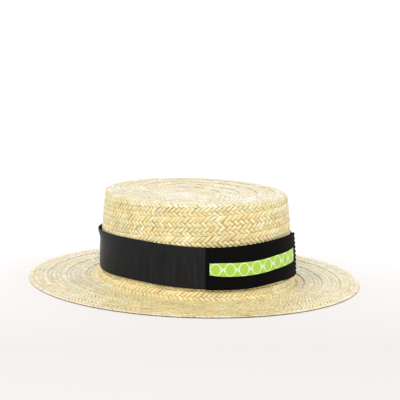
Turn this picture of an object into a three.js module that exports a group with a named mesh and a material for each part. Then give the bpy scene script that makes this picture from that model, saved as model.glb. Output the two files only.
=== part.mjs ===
import * as THREE from 'three';

// A straw boater hat. Lengths are in millimetres and angles in degrees.
// +Z is up, the brim lies on Z = 0, X runs across the hat and Y along it.
// Angles go round the hat from +X through +Y.

// The crown.
const CROWN_HALF_WIDTH = 84; // outside of the straw, near the foot of the wall
const CROWN_STRETCH = 20; // half length less half width
const CROWN_HEIGHT = 86;
const CROWN_TAPER = 4.6; // how much the wall leans in on its way up to the rim
const RIM_RADIUS = 5.2; // rounding between the wall and the tip
const ROOT_RADIUS = 7; // hollow rounding between the wall and the brim
const STRAW_WALL = 1.8; // full thickness of the plait
const ROW_WIDTH = 17.5; // width of one sewn row of plait that shows
const ROW_STEP = 0.7; // how far the inner edge of a row stands over the row before it
const TIP_COIL = 3; // half width of the first coil of plait in the middle of the tip

// The brim.
const BRIM_ROWS = 3;
const BRIM_THICKNESS = 2.3; // at the inner edge of a row
const BRIM_STEP = 0.8; // how much lower the outer edge of a row is
const BRIM_STRETCH = 23; // half length less half width at the edge
const BRIM_SHIFT = 6; // the crown sits this much nearer the front than the middle of the brim
const BRIM_LAP = 3; // how far the brim lies over the foot of the crown
const LAP_WALL = 1.2; // thickness of the brim there
const BRIM_EDGE = 0.6; // bevel round the edge
const SEAM_DEPTH = 0.5; // groove under the brim along each seam

// The ribbon round the crown.
const RIBBON_HEIGHT = 37.4;
const RIBBON_THICKNESS = 1.0;
const RIBBON_LOW = 1.3; // lowest point of the ribbon above the top of the root rounding
const RIBBON_TILT = 0.6; // the ribbon sits this much higher at its high side
const RIBBON_HIGH_SIDE = 285;
const LIP_ANGLE = 145; // where the top edge of the ribbon stands off
const LIP_SPREAD = 15;
const LIP_DEPTH = 10; // how far down from the top edge it stands off
const LIP_OUT = 2.4;

// The panel over the ribbon and the strip along it.
const PANEL_START = 236;
const PANEL_END = 314;
const PANEL_THICKNESS = 1.0;
const PANEL_OVERHANG = 0.3; // beyond the ribbon above and below
const PANEL_RISE = 3.9; // how much further it reaches up where it is widest
const PANEL_DROP = 0.9; // and down
const PANEL_WIDEST = 0.69; // share of the way to the toothed end
const PANEL_FLARE = 1.1; // how far the toothed end stands off at its foot
const TOOTH_COUNT = 10;
const TOOTH_ANGLE = 0.8;
const STRIP_HEIGHT = 12;
const STRIP_THICKNESS = 1.0;
const STRIP_START_MARGIN = 2.2; // between the panel's straight end and the strip
const STRIP_END_MARGIN = 9;
const STRIP_RISE = 3.4; // how much the strip climbs from end to end of the panel

const SEWN_GAP = 0.3; // between pieces that are sewn together
const AROUND = 72; // stations round the hat

const rad = (degrees) => (degrees * Math.PI) / 180;
const clamp01 = (value) => Math.min(1, Math.max(0, value));
const smooth = (value) => {
  const t = clamp01(value);
  return t * t * (3 - 2 * t);
};

// Heights that follow from the sizes above.
const FOOT_TOP = STRAW_WALL;
const WALL_START = FOOT_TOP + ROOT_RADIUS;
const WALL_END = CROWN_HEIGHT - RIM_RADIUS;

// Half width of the outside of the crown's wall at a height.
function wallRadius(z) {
  const t = clamp01((z - WALL_START) / (CROWN_HEIGHT - WALL_START));
  return CROWN_HALF_WIDTH - CROWN_TAPER * t * t;
}

const RIM_HALF_WIDTH = wallRadius(WALL_END) - RIM_RADIUS;
const FOOT_CORNER = CROWN_HALF_WIDTH + ROOT_RADIUS;
const BRIM_START = FOOT_CORNER + 0.35 * ROW_WIDTH;
const FOOT_END = BRIM_START + BRIM_LAP;
const BRIM_HALF_WIDTH = BRIM_START + BRIM_ROWS * ROW_WIDTH;

// A point of the hat from its half width, height and angle. Beyond the wall
// the oval grows longer and moves back bit by bit, up to the brim's edge,
// which is centred on the origin.
function onOval(halfWidth, z, degrees) {
  const out = clamp01((halfWidth - CROWN_HALF_WIDTH) / (BRIM_HALF_WIDTH - CROWN_HALF_WIDTH));
  const stretch = CROWN_STRETCH + (BRIM_STRETCH - CROWN_STRETCH) * out;
  const x = halfWidth * Math.cos(rad(degrees));
  const y = (halfWidth + stretch) * Math.sin(rad(degrees)) - BRIM_SHIFT * (1 - out);
  return [x, y, z];
}

// The crown's outline from the middle of the tip to the end of its foot.
// Each station gives the length run so far, the outside point and its normal.
function crownOutline() {
  const stations = [];
  let run = 0;
  let last = null;
  const add = (r, z, nr, nz) => {
    if (last) run += Math.hypot(r - last.r, z - last.z);
    last = { run, r, z, nr, nz };
    stations.push(last);
  };
  const flat = 24;
  for (let i = 0; i < flat; i++) {
    const r = TIP_COIL + ((RIM_HALF_WIDTH - TIP_COIL) * i) / flat;
    add(r, CROWN_HEIGHT, 0, 1);
  }
  const turn = 6;
  for (let i = 0; i < turn; i++) {
    const a = rad(90 - (90 * i) / turn);
    add(RIM_HALF_WIDTH + RIM_RADIUS * Math.cos(a), WALL_END + RIM_RADIUS * Math.sin(a), Math.cos(a), Math.sin(a));
  }
  const wall = 32;
  for (let i = 0; i < wall; i++) {
    const z = WALL_END + ((WALL_START - WALL_END) * i) / wall;
    add(wallRadius(z), z, 1, 0);
  }
  for (let i = 0; i <= turn; i++) {
    const a = rad((90 * i) / turn);
    add(FOOT_CORNER - ROOT_RADIUS * Math.cos(a), WALL_START - ROOT_RADIUS * Math.sin(a), Math.cos(a), Math.sin(a));
  }
  add(FOOT_END, FOOT_TOP, 0, 1);
  return stations;
}

// The station at a given length along the outline.
function atRun(stations, run) {
  let i = 1;
  while (i < stations.length - 1 && stations[i].run < run) i++;
  const a = stations[i - 1];
  const b = stations[i];
  const t = clamp01((run - a.run) / (b.run - a.run));
  const mix = (key) => a[key] + (b[key] - a[key]) * t;
  const nr = mix('nr');
  const nz = mix('nz');
  const size = Math.hypot(nr, nz);
  return { run, r: mix('r'), z: mix('z'), nr: nr / size, nz: nz / size };
}

// Joins rings of points into one closed body. Every ring has the same number
// of points. With open ends, the first and the last ring are closed by a cap
// that runs from side to side across the oval.
function bodyFromRings(rings, openEnds) {
  const count = rings[0].length;
  const positions = rings.flat(2);
  const faces = [];
  const ringTotal = openEnds ? rings.length - 1 : rings.length;
  for (let j = 0; j < ringTotal; j++) {
    const here = j * count;
    const next = ((j + 1) % rings.length) * count;
    for (let i = 0; i < count; i++) {
      const k = (i + 1) % count;
      faces.push(here + i, next + i, next + k);
      faces.push(here + i, next + k, here + k);
    }
  }
  const cap = (base, flip) => {
    const add = (a, b, c) => (flip ? faces.push(base + a, base + c, base + b) : faces.push(base + a, base + b, base + c));
    for (let i = 0; i < count / 2; i++) {
      const a = i;
      const b = i + 1;
      const c = (count - i - 1) % count;
      const d = (count - i) % count;
      if (b !== c) add(a, b, c);
      if (a !== d) add(a, c, d);
    }
  };
  if (openEnds) {
    cap(0, false);
    cap((rings.length - 1) * count, true);
  }
  return geometry(positions, faces);
}

// A closed slab from two layers of a grid. The point function gets the shares
// along and across, and the layer: 0 is the inside and 1 the outside.
function slab(along, across, pointAt) {
  const positions = [];
  const faces = [];
  const index = (layer, i, j) => (layer * (along + 1) + i) * (across + 1) + j;
  for (let layer = 0; layer < 2; layer++) {
    for (let i = 0; i <= along; i++) {
      for (let j = 0; j <= across; j++) positions.push(...pointAt(i / along, j / across, layer));
    }
  }
  const quad = (a, b, c, d) => faces.push(a, b, c, a, c, d);
  for (let i = 0; i < along; i++) {
    for (let j = 0; j < across; j++) {
      quad(index(1, i, j), index(1, i + 1, j), index(1, i + 1, j + 1), index(1, i, j + 1));
      quad(index(0, i, j), index(0, i, j + 1), index(0, i + 1, j + 1), index(0, i + 1, j));
    }
    quad(index(0, i, 0), index(0, i + 1, 0), index(1, i + 1, 0), index(1, i, 0));
    quad(index(0, i, across), index(1, i, across), index(1, i + 1, across), index(0, i + 1, across));
  }
  for (let j = 0; j < across; j++) {
    quad(index(0, 0, j), index(1, 0, j), index(1, 0, j + 1), index(0, 0, j + 1));
    quad(index(0, along, j), index(0, along, j + 1), index(1, along, j + 1), index(1, along, j));
  }
  return geometry(positions, faces);
}

function geometry(positions, faces) {
  const shape = new THREE.BufferGeometry();
  shape.setAttribute('position', new THREE.Float32BufferAttribute(positions, 3));
  shape.setIndex(faces);
  shape.computeVertexNormals();
  return shape;
}

// One ring round the hat, starting on the -Y axis so that a cap is even.
function ring(pointAt) {
  const points = [];
  for (let i = 0; i < AROUND; i++) points.push(pointAt(-90 + (360 * i) / AROUND));
  return points;
}

// The crown: rows of plait outside, each one lapped over the row before it, and
// a plain inside one straw wall away. The rows run down to where the brim starts.
function crownShape() {
  const outline = crownOutline();
  const end = outline[outline.length - 1].run;
  const lastSeam = end - BRIM_LAP;
  const rings = [];
  const place = (station, depth) => ring((a) => onOval(station.r - station.nr * depth, station.z - station.nz * depth, a));
  const rows = Math.floor(lastSeam / ROW_WIDTH);
  const first = lastSeam - rows * ROW_WIDTH;
  const seams = [0];
  for (let k = 0; k <= rows; k++) seams.push(first + k * ROW_WIDTH);
  const isBend = (s) => s.nr > 0.02 && s.nr < 0.98;
  for (let k = 1; k < seams.length; k++) {
    const start = seams[k - 1];
    const width = seams[k] - start;
    rings.push(place(atRun(outline, start), 0));
    for (const bend of outline.filter((s) => s.run > start + 0.5 && s.run < seams[k] - 0.5 && isBend(s))) {
      rings.push(place(bend, (ROW_STEP * (bend.run - start)) / width));
    }
    rings.push(place(atRun(outline, seams[k]), ROW_STEP));
  }
  rings.push(place(atRun(outline, end), ROW_STEP));
  const inside = [end];
  const bends = outline.filter(isBend).map((s) => s.run);
  inside.push(...bends.filter((run, i) => i % 2 === 0));
  for (const share of [0.25, 0.5, 0.75]) {
    inside.push(outline.find((s) => s.nr === 1 && s.z <= WALL_START + share * (WALL_END - WALL_START)).run);
  }
  inside.push(outline.find((s) => s.nz === 1 && s.r > RIM_HALF_WIDTH * 0.5).run, 0);
  inside.sort((a, b) => b - a);
  for (const run of inside) rings.push(place(atRun(outline, run), STRAW_WALL));
  return bodyFromRings(rings, true);
}

// The brim: flat rows of plait with a flat underside. The inner edge of the
// first row lies over the foot of the crown.
function brimShape() {
  const lapFloor = FOOT_TOP - ROW_STEP + SEWN_GAP;
  const lapEnd = FOOT_END + SEWN_GAP;
  const profile = [];
  profile.push([lapEnd, 0], [lapEnd, lapFloor], [BRIM_START, lapFloor], [BRIM_START, lapFloor + LAP_WALL]);
  profile.push([lapEnd + LAP_WALL, BRIM_THICKNESS]);
  for (let k = 1; k <= BRIM_ROWS; k++) {
    const seam = BRIM_START + k * ROW_WIDTH;
    const low = BRIM_THICKNESS - BRIM_STEP;
    if (k < BRIM_ROWS) profile.push([seam, low], [seam, BRIM_THICKNESS]);
    else profile.push([seam - BRIM_EDGE, low], [seam, low - BRIM_EDGE]);
  }
  profile.push([BRIM_HALF_WIDTH, BRIM_EDGE], [BRIM_HALF_WIDTH - BRIM_EDGE, 0]);
  for (let k = BRIM_ROWS - 1; k >= 1; k--) {
    const seam = BRIM_START + k * ROW_WIDTH;
    profile.push([seam + SEAM_DEPTH, 0], [seam, SEAM_DEPTH], [seam - SEAM_DEPTH, 0]);
  }
  const rings = profile.map(([r, z]) => ring((a) => onOval(r, z, a)));
  return bodyFromRings(rings, false);
}

// How high the ribbon's foot is at an angle round the hat.
function ribbonFoot(degrees) {
  const rise = 1 + Math.cos(rad(degrees - RIBBON_HIGH_SIDE));
  return WALL_START + RIBBON_LOW + (RIBBON_TILT * rise) / 2;
}

// How far the top edge of the ribbon stands off at an angle and height.
function lipOut(degrees, z) {
  const away = ((degrees - LIP_ANGLE + 540) % 360) - 180;
  const across = Math.exp(-((away / LIP_SPREAD) ** 2));
  const up = smooth((z - (ribbonFoot(degrees) + RIBBON_HEIGHT - LIP_DEPTH)) / LIP_DEPTH);
  return LIP_OUT * across * up;
}

function ribbonShape() {
  const levels = [0, 0.25, 0.5, 1 - LIP_DEPTH / RIBBON_HEIGHT, 1 - (0.5 * LIP_DEPTH) / RIBBON_HEIGHT, 1];
  const layer = (level, out) =>
    ring((a) => {
      const z = ribbonFoot(a) + level * RIBBON_HEIGHT;
      return onOval(wallRadius(z) + SEWN_GAP + out + lipOut(a, z), z, a);
    });
  const insideRings = levels.map((level) => layer(level, 0));
  const outsideRings = levels.map((level) => layer(level, RIBBON_THICKNESS)).reverse();
  return bodyFromRings([...insideRings, ...outsideRings], false);
}

// The outside of the panel's stand-off at its toothed end.
function panelOut(degrees, level) {
  const near = smooth((degrees - (PANEL_END - 14)) / 14);
  return PANEL_FLARE * near * (0.35 + 0.65 * (1 - level));
}

// The share of the way along the panel at an angle round the hat.
function panelShare(degrees) {
  return (degrees - PANEL_START) / (PANEL_END - PANEL_START);
}

// A point of the panel from its angle, its share of the way up and how far it
// is from the panel's inside. The panel widens towards its toothed end.
function panelPoint(degrees, level, depth) {
  const swell = (1 - Math.cos(rad((180 * panelShare(degrees)) / PANEL_WIDEST))) / 2;
  const foot = ribbonFoot(degrees) - PANEL_OVERHANG - PANEL_DROP * swell;
  const top = ribbonFoot(degrees) + RIBBON_HEIGHT + PANEL_OVERHANG + PANEL_RISE * swell;
  const z = foot + level * (top - foot);
  const base = wallRadius(z) + 2 * SEWN_GAP + RIBBON_THICKNESS;
  return onOval(base + depth + panelOut(degrees, level), z, degrees);
}

function panelShape() {
  const across = TOOTH_COUNT * 2;
  const along = 12;
  return slab(along, across, (u, v, layer) => {
    const tooth = Math.abs(((v * TOOTH_COUNT) % 1) - 0.5) * 2;
    const end = PANEL_END - TOOTH_ANGLE * tooth;
    const degrees = PANEL_START + (end - PANEL_START) * u;
    return panelPoint(degrees, v, layer * PANEL_THICKNESS);
  });
}

function stripShape() {
  return slab(16, 4, (u, v, layer) => {
    const from = PANEL_START + STRIP_START_MARGIN;
    const to = PANEL_END - TOOTH_ANGLE - STRIP_END_MARGIN;
    const degrees = from + (to - from) * u;
    const foot = panelPoint(degrees, 0, 0)[2];
    const top = panelPoint(degrees, 1, 0)[2];
    const middle = ribbonFoot(degrees) + RIBBON_HEIGHT / 2 + STRIP_RISE * panelShare(degrees);
    const level = (middle + (v - 0.5) * STRIP_HEIGHT - foot) / (top - foot);
    const depth = PANEL_THICKNESS + SEWN_GAP + layer * STRIP_THICKNESS;
    return panelPoint(degrees, level, depth);
  });
}

function piece(name, shape, color, roughness) {
  const material = new THREE.MeshStandardMaterial({ color, roughness, metalness: 0 });
  const mesh = new THREE.Mesh(shape, material);
  mesh.name = name;
  return mesh;
}

const group = new THREE.Group();
group.name = 'straw_boater_hat';
group.add(piece('crown', crownShape(), '#E6D3A0', 0.62));
group.add(piece('brim', brimShape(), '#E8DAB0', 0.62));
group.add(piece('ribbon', ribbonShape(), '#2A2A2B', 0.55));
group.add(piece('panel', panelShape(), '#141216', 0.85));
group.add(piece('trim_strip', stripShape(), '#B9DD55', 0.6));

export default group;
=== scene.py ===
"""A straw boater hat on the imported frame: plaited straw, ribbon, pinked panel and trellis strip."""

from __future__ import annotations

import logging
import math
from dataclasses import dataclass, field
from enum import Enum
from functools import partial
from typing import Callable

import bmesh
import bpy
import numpy as np
from bpy.types import Material, Node, NodeSocket, NodeTree, Object
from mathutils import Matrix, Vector

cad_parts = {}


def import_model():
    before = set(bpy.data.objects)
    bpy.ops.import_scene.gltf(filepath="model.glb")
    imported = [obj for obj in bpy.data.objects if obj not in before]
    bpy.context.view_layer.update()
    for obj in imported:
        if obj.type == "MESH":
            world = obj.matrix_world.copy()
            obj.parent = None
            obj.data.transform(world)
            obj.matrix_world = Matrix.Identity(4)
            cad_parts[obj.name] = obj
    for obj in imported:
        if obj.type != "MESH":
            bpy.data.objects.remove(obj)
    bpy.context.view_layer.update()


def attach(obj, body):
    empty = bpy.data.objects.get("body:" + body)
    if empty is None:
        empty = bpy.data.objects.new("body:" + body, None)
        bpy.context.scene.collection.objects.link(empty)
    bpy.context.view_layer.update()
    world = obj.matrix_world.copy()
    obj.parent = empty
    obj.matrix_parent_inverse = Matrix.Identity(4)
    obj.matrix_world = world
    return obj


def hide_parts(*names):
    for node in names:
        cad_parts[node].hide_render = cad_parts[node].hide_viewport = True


Array = np.ndarray
Pair = tuple[float, float]
Triple = tuple[float, float, float]
Stops = tuple[tuple[float, str], ...]
Form = tuple[Array, list[list[int]]]
LOG = logging.getLogger("boater")
MM = 0.001


def linear(code: str) -> tuple[float, float, float, float]:
    """Turn an sRGB hex colour into the linear one that a shader takes.

    Args:
        code: The colour as "#RRGGBB".

    Returns:
        Red, green and blue as linear numbers, and an alpha of one.
    """
    parts = [int(code[i : i + 2], 16) / 255 for i in (1, 3, 5)]
    lin = [p / 12.92 if p <= 0.04045 else ((p + 0.055) / 1.055) ** 2.4 for p in parts]
    return (lin[0], lin[1], lin[2], 1.0)


def smooth(value: Array | float) -> Array:
    """Ease from nought to one with no kink at either end."""
    t = np.clip(value, 0.0, 1.0)
    return t * t * (3 - 2 * t)


def mix(first: Array | float, second: Array | float, share: Array) -> Array:
    """Go from the first value to the second by a share."""
    return first * (1 - share) + second * share


def bell(value: Array, spread: float) -> Array:
    """Fall away from one on both sides of nought, over a spread."""
    return np.exp(-((value / spread) ** 2))


def aim(obj: Object, along: Vector) -> None:
    """Set a camera or a light in the scene so that it looks along a direction."""
    obj.rotation_mode = "QUATERNION"
    obj.rotation_quaternion = along.to_track_quat("-Z", "Y")
    bpy.context.scene.collection.objects.link(obj)


def add_node(
    tree: NodeTree,
    kind: str,
    settings: dict | None = None,
    values: dict | None = None,
    links: dict | None = None,
) -> Node:
    """Add a node with its settings, its own values and the sockets that feed it.

    Args:
        tree: The material's or the world's nodes.
        kind: The node's type name after "ShaderNode".
        settings: Properties of the node.
        values: Numbers or colours for its inputs, by name or place.
        links: Output sockets for its inputs, by name or place.

    Returns:
        The new node.
    """
    made = tree.nodes.new(f"ShaderNode{kind}")
    for key, value in (settings or {}).items():
        setattr(made, key, value)
    for key, value in (values or {}).items():
        made.inputs[key].default_value = value
    for key, source in (links or {}).items():
        tree.links.new(source, made.inputs[key])
    return made


def math_node(tree: NodeTree, operation: str, *parts: NodeSocket | float) -> NodeSocket:
    """Work out one step of a pattern.

    Args:
        tree: The material's nodes.
        operation: What the step does.
        parts: The sockets or numbers that it takes, in order.

    Returns:
        The step's result.
    """
    values = {i: part for i, part in enumerate(parts) if isinstance(part, (int, float))}
    links = {i: part for i, part in enumerate(parts) if i not in values}
    return add_node(tree, "Math", {"operation": operation}, values, links).outputs[0]


def ranged(
    tree: NodeTree,
    source: NodeSocket,
    start: float,
    end: float,
    low: float = 0.0,
    high: float = 1.0,
) -> NodeSocket:
    """Map a value from start and end to low and high, held at both ends."""
    values = {"From Min": start, "From Max": end, "To Min": low, "To Max": high}
    made = add_node(tree, "MapRange", values=values, links={"Value": source})
    return made.outputs["Result"]


def blend(
    tree: NodeTree, share: NodeSocket, first: NodeSocket | str, second: NodeSocket | str
) -> NodeSocket:
    """Blend two colours, each a socket or a hex colour, by a share of the second."""
    values, links = {}, {0: share}
    for place, colour in ((6, first), (7, second)):
        if isinstance(colour, str):
            values[place] = linear(colour)
        else:
            links[place] = colour
    return add_node(tree, "Mix", {"data_type": "RGBA"}, values, links).outputs[2]


def attribute(tree: NodeTree, name: str) -> NodeSocket:
    """Read a named number of the mesh's points."""
    return add_node(tree, "Attribute", {"attribute_name": name}).outputs["Fac"]


def flat_map(tree: NodeTree, name: str) -> NodeSocket:
    """Read the millimetre map with a name."""
    return add_node(tree, "UVMap", {"uv_map": name}).outputs["UV"]


def noise(tree: NodeTree, place: NodeSocket, scale: float, detail: float) -> NodeSocket:
    """Make a soft noise over a place."""
    values = {"Scale": scale, "Detail": detail}
    made = add_node(tree, "TexNoise", values=values, links={"Vector": place})
    return made.outputs["Fac"]


def drawn_out(tree: NodeTree, place: NodeSocket, scale: Triple) -> NodeSocket:
    """Scale a place differently along each of its axes."""
    made = add_node(tree, "Mapping", values={"Scale": scale}, links={"Vector": place})
    return made.outputs["Vector"]


def ramp(tree: NodeTree, share: NodeSocket, stops: Stops) -> NodeSocket:
    """Colour a value.

    Args:
        tree: The material's nodes.
        share: The value, from nought to one.
        stops: Places from nought to one, each with a hex colour.

    Returns:
        The colour.
    """
    made = add_node(tree, "ValToRGB", links={0: share})
    points = made.color_ramp.elements
    while len(points) < len(stops):
        points.new(0.5)
    for point, (place, code) in zip(points, stops):
        point.position = place
        point.color = linear(code)
    return made.outputs["Color"]


def new_material(name: str) -> tuple[Material, NodeTree]:
    """Make a material with its shader.

    Args:
        name: The material's name.

    Returns:
        The material and its nodes.
    """
    material = bpy.data.materials.new(name)
    material.use_nodes = True
    return material, material.node_tree


def set_surface(
    tree: NodeTree,
    colour: NodeSocket,
    values: dict[str, float],
    height: NodeSocket | None = None,
    bump: Pair = (1.0, 0.0),
) -> None:
    """Feed the shader.

    Args:
        tree: The material's nodes.
        colour: Its colour.
        values: Its own numbers, by name.
        height: The relief, if it has one.
        bump: The relief's strength, and its depth in metres.
    """
    shader = tree.nodes["Principled BSDF"]
    tree.links.new(colour, shader.inputs["Base Color"])
    for key, value in values.items():
        shader.inputs[key].default_value = value
    if height is not None:
        depth = {"Strength": bump[0], "Distance": bump[1]}
        made = add_node(tree, "Bump", values=depth, links={"Height": height})
        tree.links.new(made.outputs["Normal"], shader.inputs["Normal"])


def grid(along: int, across: int, side: float = 2.0) -> Object:
    """Add a flat square, cut into squares along and across."""
    bpy.ops.object.select_all(action="DESELECT")
    bpy.ops.mesh.primitive_grid_add(x_subdivisions=along, y_subdivisions=across, size=side)
    return bpy.context.object


def pick(obj: Object, test: Callable[[Vector], bool]) -> None:
    """Select the points of the mesh in edit mode that pass a test of their place.

    Args:
        obj: The object in edit mode.
        test: Says whether a point at a place is taken.
    """
    shape = bmesh.from_edit_mesh(obj.data)
    for vert in shape.verts:
        vert.select = bool(test(vert.co))
    shape.select_flush_mode()
    bmesh.update_edit_mesh(obj.data)


def joined_mesh(
    name: str,
    points: Array,
    loops: Array,
    sizes: Array,
    uv: Array | None = None,
    tones: dict[str, Array] | None = None,
) -> Object:
    """Make one object from arrays of points and faces.

    Args:
        name: The piece's name.
        points: Places in millimetres, one row each.
        loops: The faces' corners, one after another.
        sizes: How many corners each face has.
        uv: A pair of millimetre values for each corner.
        tones: Named numbers for each point.

    Returns:
        The new object.
    """
    mesh = bpy.data.meshes.new(name)
    mesh.vertices.add(len(points))
    mesh.vertices.foreach_set("co", (points * MM).astype(np.float32).ravel())
    mesh.loops.add(len(loops))
    mesh.loops.foreach_set("vertex_index", loops.astype(np.int32))
    mesh.polygons.add(len(sizes))
    starts = np.concatenate(([0], np.cumsum(sizes)[:-1])).astype(np.int32)
    mesh.polygons.foreach_set("loop_start", starts)
    mesh.polygons.foreach_set("loop_total", sizes.astype(np.int32))
    mesh.update(calc_edges=True)
    if uv is not None:
        mesh.uv_layers.new(name="fibre").data.foreach_set("uv", uv.astype(np.float32).ravel())
    for key, values in (tones or {}).items():
        layer = mesh.attributes.new(key, "FLOAT", "POINT")
        layer.data.foreach_set("value", values.astype(np.float32).ravel())
    mesh.validate()
    obj = bpy.data.objects.new(name, mesh)
    bpy.context.scene.collection.objects.link(obj)
    return obj


def dress(obj: Object, material: Material, node: str) -> Object:
    """Give a piece its material and its body, and hide the node that it stands for."""
    obj.data.materials.clear()
    obj.data.materials.append(material)
    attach(obj, "root")
    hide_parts(node)
    LOG.info("%s: %d faces", obj.name, len(obj.data.polygons))
    return obj


class Side(Enum):
    """Which face of the plait a float lies on."""

    OUTSIDE = 1
    INSIDE = -1


@dataclass(frozen=True)
class StrawFinish:
    """Bleached wheat straw, split flat and plaited: pale, satin, each strand of its own tone."""

    name: str = "plaited wheat straw, bleached"
    stops: Stops = (
        (0.0, "#F0E7BE"),
        (0.25, "#EDE3B6"),
        (0.45, "#E3DA9E"),
        (0.62, "#E8D394"),
        (0.8, "#ECD69C"),
        (1.0, "#CFAE6E"),
    )
    # Colour gains for less and for more painted light.
    less_lit_gain: Triple = (1.01, 0.98, 0.98)
    pale: Triple = (0.98, 1.01, 1.41)
    shadow: str = "#6E5228"
    roughness: float = 0.32
    fibre_mm: float = 1.0
    fibre_run: float = 0.12
    streak_from: Pair = (0.34, 0.66)
    streak_to: Pair = (0.86, 1.09)
    bump: Pair = (0.25, 0.00012)
    dive_from: float = 0.72
    dive_to: float = 0.86

    def material(self) -> Material:
        """Build the straw's nodes.

        Returns:
            The material, coloured strand by strand, with fine fibres along each float.
        """
        material, tree = new_material(self.name)
        # Fibres run along the strand a few tenths of a millimetre apart, drawn a
        # millimetre apart so that they show.
        lay = drawn_out(tree, flat_map(tree, "fibre"), (self.fibre_run, 1 / self.fibre_mm, 1.0))
        fibre = noise(tree, lay, 1.0, 2.0)
        streak = ranged(tree, fibre, *self.streak_from, *self.streak_to)
        # Painted shadow: a strand is darkened at its ends, where it dives under its neighbours.
        far = math_node(tree, "ABSOLUTE", attribute(tree, "tail"))
        dive = ranged(tree, far, self.dive_from, self.dive_to)
        shadow_share = math_node(tree, "MULTIPLY", dive, attribute(tree, "gap_shade"))
        tone = math_node(tree, "MULTIPLY", streak, attribute(tree, "shade"))
        colour = add_node(
            tree,
            "VectorMath",
            {"operation": "SCALE"},
            links={0: ramp(tree, attribute(tree, "hue"), self.stops), "Scale": tone},
        )
        # Painted light: the tip and the brim's sides are painted paler, as if lit from above and
        # reflecting the white backdrop. The crown's side and the brim's front are yellower.
        gain = add_node(
            tree,
            "Mix",
            {"data_type": "VECTOR"},
            values={4: self.less_lit_gain, 5: self.pale},
            links={0: attribute(tree, "painted_light")},
        )
        lit_colour = add_node(
            tree,
            "VectorMath",
            {"operation": "MULTIPLY"},
            links={0: colour.outputs["Vector"], 1: gain.outputs[1]},
        )
        shaded = blend(tree, shadow_share, lit_colour.outputs["Vector"], self.shadow)
        values = {"Roughness": self.roughness, "Specular IOR Level": 0.5}
        set_surface(tree, shaded, values, fibre, self.bump)
        return material


@dataclass(frozen=True)
class BedFinish:
    """The crossed straw under the floats, seen only in the gaps between them, in painted shade."""

    name: str = "plaited wheat straw, under layer, in painted shade"
    light: str = "#D3B97C"
    dark: str = "#7A5F33"
    roughness: float = 0.7
    mottle_scale: float = 260.0

    def material(self) -> Material:
        """Build the under layer's nodes.

        Returns:
            The material, mottled over a few millimetres.
        """
        material, tree = new_material(self.name)
        place = add_node(tree, "TexCoord").outputs["Object"]
        mottle = noise(tree, place, self.mottle_scale, 2.0)
        colour = ramp(tree, mottle, ((0.35, self.dark), (0.65, self.light)))
        set_surface(tree, colour, {"Roughness": self.roughness})
        return material


@dataclass(frozen=True)
class RibbonFinish:
    """Viscose grosgrain: crosswise ribs under a soft sheen."""

    name: str
    light: str
    dark: str
    roughness: float
    rib_mm: float
    sheen: float
    specular: float
    rib_share: float = 0.45
    bump: Pair = (0.6, 0.00012)
    cloud: Triple = (0.45, 0.03, 1.0)

    def material(self) -> Material:
        """Build the ribbon's nodes.

        Returns:
            The material, with ribs across the ribbon and a faint cloudiness.
        """
        material, tree = new_material(self.name)
        flat = flat_map(tree, "UVMap")
        split = add_node(tree, "SeparateXYZ", links={0: flat})
        # The ribs stand across the ribbon, one for each weft cord.
        turn = math_node(tree, "MULTIPLY", split.outputs["X"], 2 * math.pi / self.rib_mm)
        level = ranged(tree, math_node(tree, "COSINE", turn), -1.0, 1.0)
        # The cloudiness is drawn out along the ribs.
        cloud = noise(tree, drawn_out(tree, flat, self.cloud), 1.0, 3.0)
        light = math_node(tree, "MULTIPLY_ADD", level, self.rib_share, cloud)
        colour = ramp(tree, light, ((0.4, self.dark), (1.0, self.light)))
        values = {
            "Roughness": self.roughness,
            "Specular IOR Level": self.specular,
            "Sheen Weight": self.sheen,
            "Sheen Roughness": 0.4,
        }
        set_surface(tree, colour, values, level, self.bump)
        return material


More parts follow.
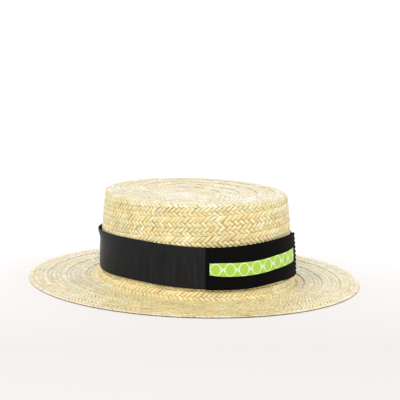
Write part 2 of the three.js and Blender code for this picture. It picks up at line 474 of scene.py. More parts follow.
@dataclass(frozen=True)
class TrellisFinish:
    """Lime cotton ribbon with a woven white trellis of round lobes, a traditional ogee pattern."""

    name: str = "lime ribbon, jacquard woven trellis"
    ground: str = "#B4DC4E"
    shadow: str = "#9CC63C"
    line: str = "#F4FBEA"
    lobe_mm: float = 12.65
    first_mm: float = 5.0
    swing_mm: float = 5.55
    ring_share: float = 0.35
    line_mm: float = 0.52
    line_edge: Pair = (0.4, 0.75)
    cross_slope: float = 0.95
    cross_scale: float = 0.72
    cross_reach: float = 0.3
    cross_fade: float = 9.0
    thread_mm: float = 0.45
    bump: Pair = (0.4, 0.0001)

    def material(self) -> Material:
        """Build the trellis nodes.

        Returns:
            The material: white rings in a row, each joined to the next by a short cross.
        """
        material, tree = new_material(self.name)
        step = partial(math_node, tree)
        split = add_node(tree, "SeparateXYZ", links={0: flat_map(tree, "UVMap")})
        x, y = split.outputs["X"], split.outputs["Y"]
        half = self.lobe_mm / 2
        # Distance to the nearest ring, and to the short cross that joins two rings.
        along = step("PINGPONG", step("SUBTRACT", x, self.first_mm), half)
        across = step("ABSOLUTE", y)
        wide = step("MULTIPLY", along, self.swing_mm / (self.ring_share * self.lobe_mm))
        squares = step("ADD", step("MULTIPLY", wide, wide), step("MULTIPLY", across, across))
        ring = step("ABSOLUTE", step("SUBTRACT", step("SQRT", squares), self.swing_mm))
        left = step("SUBTRACT", half, along)
        slant = step("SUBTRACT", across, step("MULTIPLY", left, self.cross_slope))
        arm = step("MULTIPLY", step("ABSOLUTE", slant), self.cross_scale)
        past = step("MAXIMUM", step("SUBTRACT", left, self.cross_reach * half), 0.0)
        near = step("ADD", arm, step("MULTIPLY", past, self.cross_fade))
        gap = step("MINIMUM", ring, near)
        inner, outer = (self.line_mm * share for share in self.line_edge)
        drawn = ranged(tree, gap, inner, outer, 1.0, 0.0)
        # Threads of weft and warp cross under the line.
        turn = 2 * math.pi / self.thread_mm
        weft, warp = (step("SINE", step("MULTIPLY", line, turn)) for line in (x, y))
        cross = step("MULTIPLY_ADD", step("MULTIPLY", weft, warp), 0.5, 0.5)
        colour = blend(tree, drawn, blend(tree, cross, self.shadow, self.ground), self.line)
        height = step("MULTIPLY_ADD", drawn, 0.6, cross)
        set_surface(tree, colour, {"Roughness": 0.62, "Sheen Weight": 0.1}, height, self.bump)
        return material


@dataclass(frozen=True)
class HatShape:
    """The hat's outline and oval, in millimetres, as the solids have them."""

    crown_half_width: float = 84.0
    crown_stretch: float = 20.0
    crown_height: float = 86.0
    crown_taper: float = 4.6
    rim_radius: float = 5.2
    root_radius: float = 7.0
    foot_top: float = 1.8
    brim_top: float = 2.3
    brim_half_width: float = 149.625
    brim_stretch: float = 23.0
    brim_shift: float = 6.0
    coil: float = 3.0
    table: Array = field(init=False, repr=False, compare=False)

    def __post_init__(self) -> None:
        """Work out the outline's stations once."""
        object.__setattr__(self, "table", self._outline())

    def wall_radius(self, z: Array | float) -> Array:
        """Half width of the outside of the wall at a height."""
        start = self.foot_top + self.root_radius
        t = np.clip((z - start) / (self.crown_height - start), 0, 1)
        return self.crown_half_width - self.crown_taper * t * t

    def on_oval(self, r: Array, z: Array, degrees: Array) -> Array:
        """Place points from their half width, height and angle.

        Args:
            r: Half widths.
            z: Heights.
            degrees: Angles round the hat.

        Returns:
            Points, one row each.
        """
        width = self.brim_half_width - self.crown_half_width
        out = np.clip((r - self.crown_half_width) / width, 0, 1)
        stretch = self.crown_stretch + (self.brim_stretch - self.crown_stretch) * out
        angle = np.radians(degrees)
        x = r * np.cos(angle)
        y = (r + stretch) * np.sin(angle) - self.brim_shift * (1 - out)
        return np.stack(np.broadcast_arrays(x, y, z), axis=-1)

    def _outline(self) -> Array:
        """Run along the outside from the middle of the tip to the brim's edge.

        Returns:
            Rows of run, half width, height and the normal's two parts.
        """
        end = self.crown_height - self.rim_radius
        start = self.foot_top + self.root_radius
        rim = float(self.wall_radius(end)) - self.rim_radius
        corner = self.crown_half_width + self.root_radius
        rows: list[tuple[float, float, float, float]] = []
        rows += [(r, self.crown_height, 0.0, 1.0) for r in np.linspace(0, rim, 60, endpoint=False)]
        for a in np.radians(np.linspace(90, 0, 16, endpoint=False)):
            c, s = np.cos(a), np.sin(a)
            rows.append((rim + self.rim_radius * c, end + self.rim_radius * s, c, s))
        for z in np.linspace(end, start, 80, endpoint=False):
            rows.append((float(self.wall_radius(z)), z, 1.0, 0.0))
        rise = self.brim_top - self.foot_top
        for a in np.radians(np.linspace(0, 90, 16, endpoint=False)):
            c, s = np.cos(a), np.sin(a)
            rows.append((corner - self.root_radius * c, start - self.root_radius * s, c, s))
        for r in np.linspace(corner, self.brim_half_width, 60):
            rows.append((r, self.foot_top + rise * float(smooth((r - corner) / 6.0)), 0.0, 1.0))
        rows.append((self.brim_half_width + 6.0, self.brim_top, 0.0, 1.0))
        table = np.array(rows)
        steps = np.hypot(np.diff(table[:, 0]), np.diff(table[:, 1]))
        run = np.concatenate(([0.0], np.cumsum(steps))) - self.coil
        return np.column_stack([run, table])

    @property
    def edge_run(self) -> float:
        """The run at which the brim ends."""
        return float(self.table[-2, 0])

    def point(self, run: Array, degrees: Array, height: Array) -> Array:
        """Place points by their run down the hat, angle and height above the surface.

        Args:
            run: Lengths along the outline.
            degrees: Angles round the hat.
            height: Heights along the surface's normal.

        Returns:
            Points, one row each.
        """
        r, z, nr, nz = (np.interp(run, self.table[:, 0], self.table[:, k]) for k in (1, 2, 3, 4))
        size = np.hypot(nr, nz)
        # Short of the middle, a point crosses over to the other side of the oval.
        across = np.minimum(run + self.coil, 0.0)
        return self.on_oval(r + across + nr / size * height, z + nz / size * height, degrees)


@dataclass
class SpiralPlait:
    """One nine-strand flat plait, sewn in a spiral from the tip's middle to the brim's edge."""

    shape: HatShape
    row_width: float = 17.5
    pitch_along: float = 4.7
    pitch_across: float = 4.25
    first_turn: float = -0.6
    last_turn: float = 13.07
    first_angle: float = 53.0
    first_run: float = -9.35
    brim_run: float = -14.65
    lean: float = 2.0
    lean_angle: float = 300.0
    lap: float = 1.6
    thickness: float = 1.2
    relief: float = 0.5
    sink: float = 0.7
    half_strand: float = 0.3536
    overlap: float = 1.06
    edge_lane: float = 0.75
    edge_shade: float = 0.05
    # Strength of the shade painted at the floats' ends, on the crown and on the brim.
    gap_shade: float = 0.62
    brim_gap_shade: float = 0.8
    # How far the dark bed shows at the seams, as painted seam shadow.
    seam_show: float = 0.3
    pale_seam_show: float = 0.05
    dashes: Pair = (-1.3, 1.9)
    bed_step: float = 3.0
    bed_columns: int = 10
    bed_margin: float = 0.45
    bed_gap: float = 0.05
    straw_mm: float = 55.0
    patch_mm: float = 16.0
    pull_every: float = 30.0
    pull_mm: float = 0.9
    tip_end: float = 5.5
    side_end: float = 10.3
    brim_from: float = 7.3
    brim_over: float = 2.6
    strands: int = 9
    quiet: float = 0.5
    gap_shade_spread: float = 0.1
    front_angle: float = 235.0
    front_spread: float = 55.0
    # The brim's front gets painted shade, a yellower hue and less painted light.
    front_hue: float = 0.1
    front_shade: float = 0.13
    front_unlit: float = 0.95
    rim_run: float = 76.0
    root_run: float = 157.0
    root_light: float = 0.13
    seed: int = 7

    def __post_init__(self) -> None:
        """Measure the plait's middle line so that a length along it gives a turn."""
        self.plait_width = self.strands / 2 * self.pitch_across
        self.turns = np.arange(self.first_turn, self.last_turn, 0.001)
        run = self.inner_edge(self.turns) + self.plait_width * self.squeeze(self.turns) / 2
        line = self.shape.point(run, self.angle(self.turns), np.zeros_like(run))
        steps = np.linalg.norm(np.diff(line, axis=0), axis=1)
        self.lengths = np.concatenate(([0.0], np.cumsum(steps)))

    def angle(self, turns: Array) -> Array:
        """Angle round the hat after a number of turns, clockwise from above."""
        return self.first_angle - 360.0 * turns

    def on_brim(self, turns: Array) -> Array:
        """How far the plait has gone over from the crown's spiral to the brim's rounds."""
        return np.clip((turns - self.brim_from) / self.brim_over, 0.0, 1.0)

    def inner_edge(self, turns: Array) -> Array:
        """The run of the plait's inner edge.

        Args:
            turns: Turns from the middle of the tip.

        Returns:
            Lengths down the outline.
        """
        whole = np.floor(turns)
        part = turns - whole
        # On the brim a row stays level for most of its round, then steps out to the next one.
        rounds = 0.5 + 0.2 * (part - 0.5)
        rounds += 0.4 * (smooth((part - 0.9) / 0.1) + smooth(part / 0.1) - 1)
        share = self.on_brim(turns)
        gone = mix(part, rounds, share)
        lean = -self.lean * np.cos(np.radians(self.angle(turns) - self.lean_angle))
        lean *= smooth(turns - 4) * (1 - share)
        return mix(self.first_run, self.brim_run, share) + self.row_width * (whole + gone) + lean

    def squeeze(self, turns: Array) -> Array:
        """How much the plait is drawn in or out, to lap the next row or end on the brim's edge."""
        lapped = self.inner_edge(turns + 1) + self.lap
        after = np.where(turns + 1 < self.last_turn, lapped, self.shape.edge_run)
        return np.clip((after - self.inner_edge(turns)) / self.plait_width, 0.6, 1.25)

    def float_form(self, along: int) -> Form:
        """Model one float of straw: a flat strip, domed across, whose ends dip.

        Args:
            along: Squares along the float.

        Returns:
            Its points from -1 to 1 along and across and 0 to 1 up, and its faces.
        """
        obj = grid(along, 2)
        bpy.ops.object.mode_set(mode="EDIT")
        bpy.ops.mesh.select_mode(type="VERT")
        bpy.ops.mesh.select_all(action="SELECT")
        bpy.ops.mesh.extrude_region_move(TRANSFORM_OT_translate={"value": (0, 0, 1)})
        bpy.ops.mesh.select_all(action="SELECT")
        bpy.ops.mesh.normals_make_consistent(inside=False)
        pick(obj, lambda p: 0.2 < abs(p.x) < 0.7)
        bpy.ops.transform.resize(value=(2.1, 1, 1), center_override=(0, 0, 0))
        # The top's long edges, its ends and the points next to them sink.
        for test, drop in (
            (lambda p: p.z > 0.5 and abs(p.y) > 0.9, 0.14),
            (lambda p: p.z > 0.3 and abs(p.x) > 0.9, 0.5),
            (lambda p: p.z > 0.3 and 0.3 < abs(p.x) < 0.9, 0.07),
        ):
            pick(obj, test)
            bpy.ops.transform.translate(value=(0, 0, -drop))
        bpy.ops.mesh.select_mode(type="FACE")
        shape = bmesh.from_edit_mesh(obj.data)
        for face in shape.faces:
            face.select = face.normal.z < -0.9 and face.calc_center_median().z < 0.01
        bmesh.update_edit_mesh(obj.data)
        bpy.ops.mesh.dissolve_faces()
        bpy.ops.object.mode_set(mode="OBJECT")
        points = np.array([tuple(v.co) for v in obj.data.vertices])
        faces = [list(p.vertices) for p in obj.data.polygons]
        bpy.data.objects.remove(obj, do_unlink=True)
        return points, faces

    def floats(self) -> dict[str, Array]:
        """List every float of the plait.

        Returns:
            For each float its place along and across, its lane, direction, small differences
            and tones.
        """
        random = np.random.default_rng(self.seed)
        count = int(self.lengths[-1] / self.pitch_along)
        rows: dict[str, list] = {key: [] for key in ("along", "across", "lane", "way")}
        for lane in range(self.strands // 2):
            odd = lane % 2
            rows["along"].append((np.arange(count) + 0.25 + 0.5 * odd) * self.pitch_along)
            rows["across"].append(np.full(count, (lane + self.edge_lane) * self.pitch_across))
            rows["lane"].append(np.full(count, lane))
            rows["way"].append(np.full(count, 1 - 2 * odd))
        data = {key: np.concatenate(parts).astype(float) for key, parts in rows.items()}
        total = len(data["along"])
        data["turn"] = np.interp(data["along"], self.lengths, self.turns)
        for key, middle, spread, low, high in (
            ("wide", 1.0, 0.06, 0.85, 1.12),
            ("twist", 0.0, 0.045, -0.1, 0.1),
            ("high", 1.0, 0.1, 0.75, 1.2),
        ):
            data[key] = random.normal(middle, spread, total).clip(low, high)
        # The plaiter's hand pulls it tighter and looser by turns.
        pull = random.normal(0.0, self.pull_mm, int(self.lengths[-1] / self.pull_every) + 2)
        data["slip"] = np.interp(data["along"] / self.pull_every, np.arange(len(pull)), pull)
        data["slip"] += random.normal(0.0, 0.28, total).clip(-0.6, 0.6)
        self.tone(data, random)
        return data

    def tone(self, data: dict[str, Array], random: np.random.Generator) -> None:
        """Give every float its hue, shade, painted gap shade and painted light.

        Args:
            data: Every float, which takes the new numbers.
            random: The source of chance.
        """
        along, across, turn = data["along"], data["across"], data["turn"]
        total, length = len(along), self.lengths[-1]
        # Each strand keeps its own tone for a stretch, then a new straw takes over.
        shift = across * self.pitch_along / self.pitch_across
        back = along + shift - self.strands * self.pitch_along
        cross = np.where(data["way"] > 0, along - shift, back)
        strand = np.mod(np.round(cross / self.pitch_along), self.strands).astype(int)
        knots = int(length / self.straw_mm) + 3
        hues = random.random((self.strands, knots)) ** 1.35
        shades = random.normal(1.0, 0.05, (self.strands, knots))
        place = along / self.straw_mm + strand * 0.37
        low = np.floor(place).astype(int) % (knots - 1)
        share = smooth((place - np.floor(place) - 0.3) / 0.4)
        hue = mix(hues[strand, low], hues[strand, low + 1], share)
        shade = mix(shades[strand, low], shades[strand, low + 1], share)
        # Tones also drift over patches of a few floats. The brim's front is painted darker and
        # yellower, as painted shade from the crown and band.
        marks = random.random((4, int(length / self.patch_mm) + 2))
        steps = np.arange(marks.shape[1])
        drift = [np.interp(along / self.patch_mm, steps, row) for row in marks]
        share = across / self.plait_width
        patch, cast = mix(drift[0], drift[1], share), mix(drift[2], drift[3], share) - 0.5
        brim = self.on_brim(turn)
        away = np.mod(self.angle(turn) - self.front_angle + 180, 360) - 180
        front = bell(away, self.front_spread) * brim
        hue = 0.06 + 0.3 * hue + 0.28 * patch
        hue += 0.3 * random.random(total) + random.normal(0, 0.05, total)
        # The shade painted in the plait's gaps varies, as the plait is looser in some places.
        loose = 0.45 + 0.9 * drift[3] * random.random(total) + 0.35 * random.random(total)
        gap_shade = (mix(self.gap_shade, self.brim_gap_shade, brim) * loose).clip(0, 0.9)
        shade += 0.1 * cast + random.normal(0, 0.028, total) - self.front_shade * front
        # Painted light: the tip is painted paler down to its rim, and the brim beside its front.
        run = self.inner_edge(turn) + across
        edge = smooth((run - self.shape.edge_run + 10.0) / 9.0)
        tip = 1 - smooth((run - self.rim_run + 8.0) / 16.0)
        wide = smooth((run - self.root_run - 1.0) / 12.0)
        painted_light = tip + wide * (1 - self.front_unlit * front * (1 - 0.7 * edge))
        # The brim is a little lighter and the tip a little darker. Painted light: the strands
        # that turn out under the band are lightened against its shade, and their gaps get less
        # painted shade.
        root = bell(run - self.root_run, 8.0)
        shade += 0.04 * wide - 0.03 * tip + self.root_light * root
        data["hue"] = (hue + self.front_hue * front).clip(0, 1)
        data["shade"] = shade.clip(0.75, 1.15)
        data["gap_shade"] = gap_shade * (1 - 0.6 * root)
        data["painted_light"] = painted_light.clip(0, 1)

    def lay(
        self,
        name: str,
        turns: Pair,
        side: Side,
        form: Form,
        data: dict[str, Array],
    ) -> Object:
        """Lay the floats of a stretch of plait as one mesh.

        Args:
            name: The piece's name.
            turns: Where the stretch starts and ends.
            side: The face of the plait.
            form: The float's points and faces.
            data: Every float.

        Returns:
            The piece.
        """
        centre_run = self.inner_edge(data["turn"]) + data["across"] * self.squeeze(data["turn"])
        keep = (data["turn"] >= turns[0]) & (data["turn"] < turns[1])
        keep &= (centre_run > -self.shape.coil - 1.0) & (centre_run < self.shape.edge_run - 0.8)
        one = {key: values[keep][:, None] for key, values in data.items()}
        points, faces = form
        t, v, up = points[:, 0][None], points[:, 1][None], points[:, 2][None]
        v = v * self.half_strand * one["wide"]
        # A float reaches under its neighbours, or to the plait's edge, where it folds round.
        reach = math.sqrt(0.5) * self.overlap
        root = math.sqrt(2) * self.edge_lane
        first, last = one["lane"] == 0, one["lane"] == self.strands // 2 - 1
        start = np.where(first, -root - v, -reach)
        end = np.where(last, root - v, reach)
        rolled = (first & (t < -0.9)) | (last & (t > 0.9))
        long = start + (end - start) * (t + 1) / 2
        turned = long - v * one["twist"]
        v = v + long * one["twist"]
        x = one["along"] + one["slip"] + one["way"] * self.pitch_along * (turned - v) / math.sqrt(2)
        y = one["across"] + self.pitch_across * (turned + v) / math.sqrt(2)
        turn = np.interp(x, self.lengths, self.turns)
        run = self.inner_edge(turn) + y * self.squeeze(turn)
        base = -self.sink * y / self.row_width
        lift = np.where(rolled, up * 0.5 - 0.25, up) * one["high"]
        if side is Side.OUTSIDE:
            height = base - self.relief + self.relief * lift
        else:
            height = base - self.thickness + self.relief - self.relief * lift
        placed = self.shape.point(np.minimum(run, self.shape.edge_run), self.angle(turn), height)
        placed[..., 2] = np.maximum(placed[..., 2], 0.02)
        total, each = x.shape
        flipped = (one["way"][:, 0] < 0) ^ (side is Side.INSIDE)
        sizes = np.array([len(f) for f in faces])
        plain = np.concatenate([np.array(f) for f in faces])
        turned_over = np.concatenate([np.array(f[::-1]) for f in faces])
        order = np.where(flipped[:, None], turned_over[None], plain[None])
        loops = (order + (np.arange(total) * each)[:, None]).ravel()
        # The fibre map keeps real millimetres along and across the float, with its own offset.
        offset = np.arange(total)[:, None] * 3.7
        fibre_x = long * self.pitch_along + offset
        fibre_y = v * self.pitch_across + offset * 0.31
        uv = np.stack([fibre_x, fibre_y], axis=-1).reshape(-1, 2)[loops]
        # Painted shade: straw is darkened where it turns down between its neighbours, and most at
        # the floats' bottoms.
        rim = 1 - self.edge_shade * (np.abs(points[:, 1]) > 0.9)
        low = 0.65 + 0.27 * self.on_brim(one["turn"])
        crease_shade = np.where(points[:, 2][None] < 0.02, low, rim[None])
        # A strand that folds round the plait's edge stays in the light there.
        folds = (first & (t < 0)) | (last & (t > 0))
        # The shade painted in the gaps is strongest in the middle of the plait.
        middle = bell(y / self.plait_width - 0.5, self.gap_shade_spread)
        tones = {
            "hue": one["hue"],
            "shade": one["shade"] * crease_shade,
            "tail": np.where(folds, 0.0, t),
            "gap_shade": one["gap_shade"] * mix(self.quiet, 1.0, middle),
            "painted_light": one["painted_light"],
        }
        tones = {key: np.broadcast_to(value, x.shape).ravel() for key, value in tones.items()}
        obj = joined_mesh(name, placed.reshape(-1, 3), loops, np.tile(sizes, total), uv, tones)
        # Only a float's top is rounded. Its sides meet it in a crease.
        top = np.array([points[f, 2].min() > 0.2 for f in faces])
        obj.data.polygons.foreach_set("use_smooth", np.tile(top, total))
        return obj

    def bed(self, name: str, turns: Pair, seam_show: float) -> Object:
        """Make the closed strip of crossed straw between the outside and the inside floats.

        Args:
            name: The piece's name.
            turns: Where the strip starts and ends.
            seam_show: How far it shows past the floats at the seam.

        Returns:
            The piece.
        """
        long = np.interp(np.clip(turns, self.turns[0], self.turns[-1]), self.turns, self.lengths)
        x = np.arange(long[0], long[1] + self.bed_step, self.bed_step).clip(long[0], long[1])
        turn = np.interp(x, self.lengths, self.turns)
        # Its inner edge shows past the floats in dashes here and there, as painted seam shadow.
        show = seam_show * np.random.default_rng(self.seed + 1).uniform(*self.dashes, len(x))
        across = np.linspace(0.0, self.plait_width - self.bed_margin, self.bed_columns)
        y = across[None] - show[:, None] * (np.arange(self.bed_columns) == 0)
        turn = turn[:, None] * np.ones((1, self.bed_columns))
        run = self.inner_edge(turn) + y * self.squeeze(turn)
        run = np.clip(run, -self.shape.coil, self.shape.edge_run - 0.3)
        base = -self.sink * y / self.row_width
        sunk = self.relief - self.bed_gap
        top = self.shape.point(run, self.angle(turn), base - sunk)
        low = self.shape.point(run, self.angle(turn), base - self.thickness + sunk)
        ring = np.concatenate([top, low[:, ::-1]], axis=1)
        count = ring.shape[1]
        i, j = np.meshgrid(np.arange(len(x) - 1), np.arange(count), indexing="ij")
        k = (j + 1) % count
        here, after = i * count, (i + 1) * count
        quads = np.stack([here + j, after + j, after + k, here + k], axis=-1)
        caps = np.concatenate([np.arange(count), (len(x) - 1) * count + np.arange(count)[::-1]])
        loops = np.concatenate([quads.ravel(), caps])
        sizes = np.concatenate([np.full(quads[..., 0].size, 4), [count, count]])
        obj = joined_mesh(name, ring.reshape(-1, 3), loops, sizes)
        obj.data.shade_smooth()
        return obj

    def build(self, straw: StrawFinish, under: BedFinish, pale_under: BedFinish) -> None:
        """Lay every stretch of the plait and dress it.

        Args:
            straw: The finish of the floats.
            under: The finish of the straw under the side's floats.
            pale_under: The finish of the straw under the tip's and the brim's floats.
        """
        form, plain_form = self.float_form(3), self.float_form(2)
        data = self.floats()
        plaited, bed, pale_bed = straw.material(), under.material(), pale_under.material()
        crown, brim = ("crown_straw", "crown"), ("brim_straw", "brim")
        faint = self.pale_seam_show
        stretches = (
            ("tip", (self.first_turn, self.tip_end), pale_bed, faint, crown),
            ("side", (self.tip_end, self.side_end), bed, self.seam_show, crown),
            ("brim", (self.side_end, self.last_turn), pale_bed, faint, brim),
        )
        for word, turns, below, show, (slot, node) in stretches:
            outside = self.lay(f"{word}_plait", turns, Side.OUTSIDE, form, data)
            dress(outside, plaited, node)
            inside = self.lay(f"{word}_plait_inside", turns, Side.INSIDE, plain_form, data)
            dress(inside, plaited, node)
            dress(self.bed(f"{word}_plait_bed", turns, show), below, node)


@dataclass
class HatBand:
    """The ribbon, the panel over its front and the strip along the panel, in millimetres."""

    shape: HatShape
    gap: float = 0.3
    ribbon_height: float = 37.4
    ribbon_length: float = 598.0
    ribbon_start: float = 53.0
    ribbon_stand: float = 1.0
    ribbon_low: float = 1.3
    ribbon_tilt: float = 0.6
    ribbon_high_side: float = 285.0
    ride_up: float = 2.2
    ride_angle: float = 192.0
    ride_spread: float = 30.0
    draw_up: float = 3.0
    draw_angle: float = 284.0
    draw_spread: float = 20.0
    lip_angle: float = 145.0
    lip_spread: float = 15.0
    lip_depth: float = 10.0
    lip_out: float = 2.4
    panel_start: float = 236.0
    panel_end: float = 314.0
    panel_thickness: float = 1.0
    panel_overhang: float = 0.3
    panel_rise: float = 3.3
    panel_drop: float = 0.9
    panel_widest: float = 0.69
    panel_length: float = 121.0
    panel_flare: float = 1.1
    panel_loose: float = 14.0
    fold_share: float = 0.006
    curl_length: float = 3.0
    curl_out: float = 1.1
    tooth_cut: float = 2.2
    teeth: int = 10
    tooth_angle: float = 0.8
    strip_height: float = 12.0
    strip_thickness: float = 1.0
    strip_start: float = 2.2
    strip_end: float = 9.0
    strip_rise: float = 3.4
    strip_sag: float = 1.6
    strip_sag_end: float = 0.58
    strip_length: float = 103.0
    cloth: float = 0.6

    def base(self, degrees: Array) -> Array:
        """Height that the ribbon was set to, with the place at the left where it has worked up."""
        rise = 1 + np.cos(np.radians(degrees - self.ribbon_high_side))
        worked = self.ride_up * bell(np.mod(degrees, 360) - self.ride_angle, self.ride_spread)
        low = self.shape.foot_top + self.shape.root_radius + self.ribbon_low
        return low + self.ribbon_tilt * rise / 2 + worked

    def foot(self, degrees: Array) -> Array:
        """Height of the ribbon's lower edge, drawn up under the panel."""
        drawn = bell(np.mod(degrees, 360) - self.draw_angle, self.draw_spread)
        return self.base(degrees) + self.draw_up * drawn

    def head(self, degrees: Array) -> Array:
        """Height of the ribbon's upper edge."""
        return self.base(degrees) + self.ribbon_height

    def lip(self, degrees: Array, z: Array) -> Array:
        """How far the ribbon's top edge stands off the straw."""
        away = np.mod(degrees - self.lip_angle + 540, 360) - 180
        across = bell(away, self.lip_spread)
        up = smooth((z - (self.head(degrees) - self.lip_depth)) / self.lip_depth)
        return self.lip_out * across * up

    def sheet(
        self,
        name: str,
        along: int,
        across: int,
        place: Callable[[Array, Array], tuple[Array, Array]],
        closed: bool,
        cloth: float,
    ) -> Object:
        """Form a sheet of cloth from a flat grid and give it its thickness.

        Args:
            name: The piece's name.
            along: Squares along the sheet.
            across: Squares across the sheet.
            place: Gives the outside points and the millimetre map from the shares along and across.
            closed: Whether the ends meet.
            cloth: The cloth's thickness.

        Returns:
            The piece.
        """
        obj = grid(along, across)
        obj.name = obj.data.name = name
        mesh = obj.data
        flat = np.empty(len(mesh.vertices) * 3)
        mesh.vertices.foreach_get("co", flat)
        flat = flat.reshape(-1, 3)
        points, sizes = place((flat[:, 0] + 1) / 2, (flat[:, 1] + 1) / 2)
        mesh.vertices.foreach_set("co", (points * MM).ravel())
        corner = np.empty(len(mesh.loops), dtype=np.int32)
        mesh.loops.foreach_get("vertex_index", corner)
        mesh.uv_layers[0].data.foreach_set("uv", sizes[corner].astype(np.float32).ravel())
        mesh.uv_layers[0].name = "UVMap"
        mesh.update()
        if closed:
            bpy.ops.object.mode_set(mode="EDIT")
            bpy.ops.mesh.select_all(action="SELECT")
            bpy.ops.mesh.remove_doubles(threshold=0.00001)
            bpy.ops.object.mode_set(mode="OBJECT")
        wall = obj.modifiers.new("cloth", "SOLIDIFY")
        wall.thickness = cloth * MM
        wall.offset = -1.0
        wall.use_even_offset = True
        bpy.ops.object.modifier_apply(modifier=wall.name)
        bpy.ops.object.shade_smooth_by_angle(angle=math.radians(50))
        return obj

    def ribbon(self) -> Object:
        """Form the ribbon that goes round the crown."""

        def place(u: Array, v: Array) -> tuple[Array, Array]:
            """Set the ribbon round the wall."""
            degrees = self.ribbon_start + 360.0 * u
            z = self.foot(degrees) + v * (self.head(degrees) - self.foot(degrees))
            wave = 0.12 * np.sin(np.radians(degrees * 7))
            wave += 0.08 * np.sin(np.radians(degrees * 17 + 40))
            edge = -0.35 * (np.abs(v - 0.5) * 2) ** 14
            out = self.gap + self.ribbon_stand + self.lip(degrees, z) + edge
            high = z + wave * (v - 0.5) * 0.6
            points = self.shape.on_oval(self.shape.wall_radius(z) + out, high, degrees)
            return points, np.column_stack([u * self.ribbon_length, v * self.ribbon_height])

        return self.sheet("ribbon_cloth", 480, 24, place, True, self.cloth)

    def loose(self, degrees: Array) -> Array:
        """How near a place is to the panel's loose end."""
        return smooth((degrees - self.panel_end + self.panel_loose) / self.panel_loose)

    def panel_out(self, degrees: Array, level: Array) -> Array:
        """How far the panel stands off at its toothed end."""
        return self.panel_flare * self.loose(degrees) * (0.35 + 0.65 * (1 - level))

    def panel_point(self, degrees: Array, level: Array, depth: Array) -> Array:
        """Place points over the ribbon by angle, share up the panel and depth."""
        low, high = self.panel_edges(degrees)
        z = low + level * (high - low)
        base = self.shape.wall_radius(z) + 2 * self.gap + self.ribbon_stand
        return self.shape.on_oval(base + depth + self.panel_out(degrees, level), z, degrees)

    def panel_share(self, degrees: Array) -> Array:
        """Share of the way along the panel at an angle."""
        return (degrees - self.panel_start) / (self.panel_end - self.panel_start)

    def panel_edges(self, degrees: Array) -> tuple[Array, Array]:
        """Heights of the panel's lower and upper edge, which spread towards its toothed end."""
        swell = (1 - np.cos(np.pi * self.panel_share(degrees) / self.panel_widest)) / 2
        low = self.foot(degrees) - self.panel_overhang - self.panel_drop * swell
        high = self.head(degrees) + self.panel_overhang + self.panel_rise * swell
        return low, high

    def panel(self) -> Object:
        """Form the panel, folded at its left end and pinked at its right."""

        def place(u: Array, v: Array) -> tuple[Array, Array]:
            """Set the panel over the ribbon."""
            tooth = np.abs(np.mod(v * self.teeth, 1) - 0.5) * 2
            degrees = self.panel_start + (self.panel_end - self.panel_start) * u
            degrees = degrees - self.tooth_angle * tooth * smooth((u - 0.93) / 0.07)
            fold = -0.7 * bell(u, self.fold_share)
            edge = -0.2 * (np.abs(v - 0.5) * 2) ** 16
            # The loose end curls away from the crown over its last few millimetres.
            past = (u - 1) * self.panel_length - self.tooth_cut * tooth + self.curl_length
            curl = self.curl_out * smooth(past / self.curl_length) - 0.4 * v * self.loose(degrees)
            points = self.panel_point(degrees, v, self.panel_thickness + fold + edge + curl)
            return points, np.column_stack([u * self.panel_length, v * self.ribbon_height])

        return self.sheet("panel_cloth", 200, 60, place, False, self.panel_thickness * 0.75)

    def strip(self) -> Object:
        """Form the narrow trellis strip along the panel."""

        def place(u: Array, v: Array) -> tuple[Array, Array]:
            """Set the strip over the panel."""
            start = self.panel_start + self.strip_start
            end = self.panel_end - self.tooth_angle - self.strip_end
            degrees = start + (end - start) * u
            low, high = self.panel_edges(degrees)
            share = self.panel_share(degrees)
            sag = self.strip_sag * np.sin(np.pi * np.clip(share / self.strip_sag_end, 0, 1))
            middle = self.base(degrees) + self.ribbon_height / 2 + self.strip_rise * share - sag
            height = self.strip_height * (1 - 0.13 * bell(u * self.strip_length, 7.0))
            level = (middle + (v - 0.5) * height - low) / (high - low)
            fold = -0.5 * (bell(u, self.fold_share) + bell(1 - u, self.fold_share))
            edge = -0.15 * (np.abs(v - 0.5) * 2) ** 10
            depth = self.panel_thickness + self.gap + self.strip_thickness + fold + edge
            points = self.panel_point(degrees, level, depth)
            return points, np.column_stack([u * self.strip_length, (v - 0.5) * self.strip_height])

        return self.sheet("strip_cloth", 160, 14, place, False, self.cloth)

    def build(self, ribbon: RibbonFinish, panel: RibbonFinish, strip: TrellisFinish) -> None:
        """Args:
            ribbon: The finish of the ribbon.
            panel: The finish of the panel.
            strip: The finish of the strip.
        """
        band = dress(self.ribbon(), ribbon.material(), "ribbon")
        front = dress(self.panel(), panel.material(), "panel")
        trim = dress(self.strip(), strip.material(), "trim_strip")


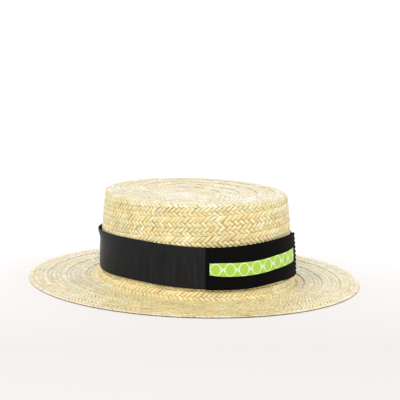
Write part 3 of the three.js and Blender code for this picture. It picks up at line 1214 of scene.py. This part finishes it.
@dataclass
class Studio:
    """The pale floor, the soft light and the camera."""

    azimuth: float = -34.26
    elevation: float = 8.49
    distance: float = 1.19391
    lens: float = 113.4
    target: Triple = (0.003975, -0.008708, 0.07566)
    sky: float = 1.0
    floor_near: str = "#CFCBCA"
    floor_far: str = "#FFFFFF"
    floor_reach: Pair = (-0.25, 0.6)
    floor_size: float = 12.0
    hat_middle: Triple = (0.0, 0.0, 0.04)

    def camera(self) -> None:
        """Set the camera at the picture's angle."""
        data = bpy.data.cameras.new("camera")
        data.lens = self.lens
        data.sensor_width = 36.0
        data.clip_start, data.clip_end = 0.05, 60.0
        obj = bpy.data.objects.new("camera", data)
        a, e = math.radians(self.azimuth), math.radians(self.elevation)
        back = Vector((math.sin(a) * math.cos(e), -math.cos(a) * math.cos(e), math.sin(e)))
        obj.location = Vector(self.target) + back * self.distance
        aim(obj, -back)
        bpy.context.scene.camera = obj

    def lamp(self, name: str, place: Triple, size: float, power: float) -> None:
        """Hang a soft square light that faces the hat.

        Args:
            name: The light's name.
            place: Where it hangs, in metres.
            size: Its side, in metres.
            power: Its power, in watts.
        """
        data = bpy.data.lights.new(name, "AREA")
        data.size = size
        data.energy = power
        obj = bpy.data.objects.new(name, data)
        obj.location = place
        aim(obj, Vector(self.hat_middle) - Vector(place))

    def floor(self) -> None:
        """Lay the pale floor, painted lighter away from the camera as painted light."""
        obj = grid(8, 8, self.floor_size)
        obj.name = "studio_floor"
        material, tree = new_material("paper, matt white")
        place = add_node(tree, "TexCoord").outputs["Object"]
        turn = math.radians(self.azimuth)
        far = add_node(
            tree,
            "VectorMath",
            {"operation": "DOT_PRODUCT"},
            values={1: (-math.sin(turn), math.cos(turn), 0.0)},
            links={0: place},
        )
        # Painted light: the floor runs from grey near the camera to white far off.
        reach = ranged(tree, far.outputs["Value"], *self.floor_reach)
        colour = ramp(tree, reach, ((0.0, self.floor_near), (1.0, self.floor_far)))
        set_surface(tree, colour, {"Roughness": 0.9})
        obj.data.materials.append(material)

    def build(self) -> None:
        """Make the whole studio."""
        self.camera()
        self.floor()
        world = bpy.data.worlds.new("studio")
        world.use_nodes = True
        world.node_tree.nodes["Background"].inputs["Color"].default_value = (1, 1, 1, 1)
        world.node_tree.nodes["Background"].inputs["Strength"].default_value = self.sky
        bpy.context.scene.world = world
        self.lamp("key", (-0.9, -0.5, 1.5), 0.9, 14.0)
        self.lamp("fill", (0.9, -1.2, 0.9), 1.0, 4.0)
        bpy.context.scene.view_settings.view_transform = "Standard"


def main() -> None:
    """Load the frame, build the studio and the hat, and log each piece's faces."""
    logging.basicConfig(level=logging.INFO, format="%(name)s %(message)s")
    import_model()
    shape = HatShape()
    Studio().build()
    # The under layers' darker straw is painted shade in the gaps between floats.
    SpiralPlait(shape).build(
        StrawFinish(),
        BedFinish(),
        BedFinish("plaited wheat straw, brim under layer, in painted shade", "#DCC48C", "#A08350"),
    )
    HatBand(shape).build(
        RibbonFinish("viscose grosgrain, charcoal", "#2D2D2E", "#1B1B1C", 0.2, 1.0, 0.0, 0.01),
        RibbonFinish("cotton petersham, black", "#0C0B0D", "#060607", 0.8, 0.9, 0.0, 0.06),
        TrellisFinish(),
    )


if __name__ == "__main__":
    main()
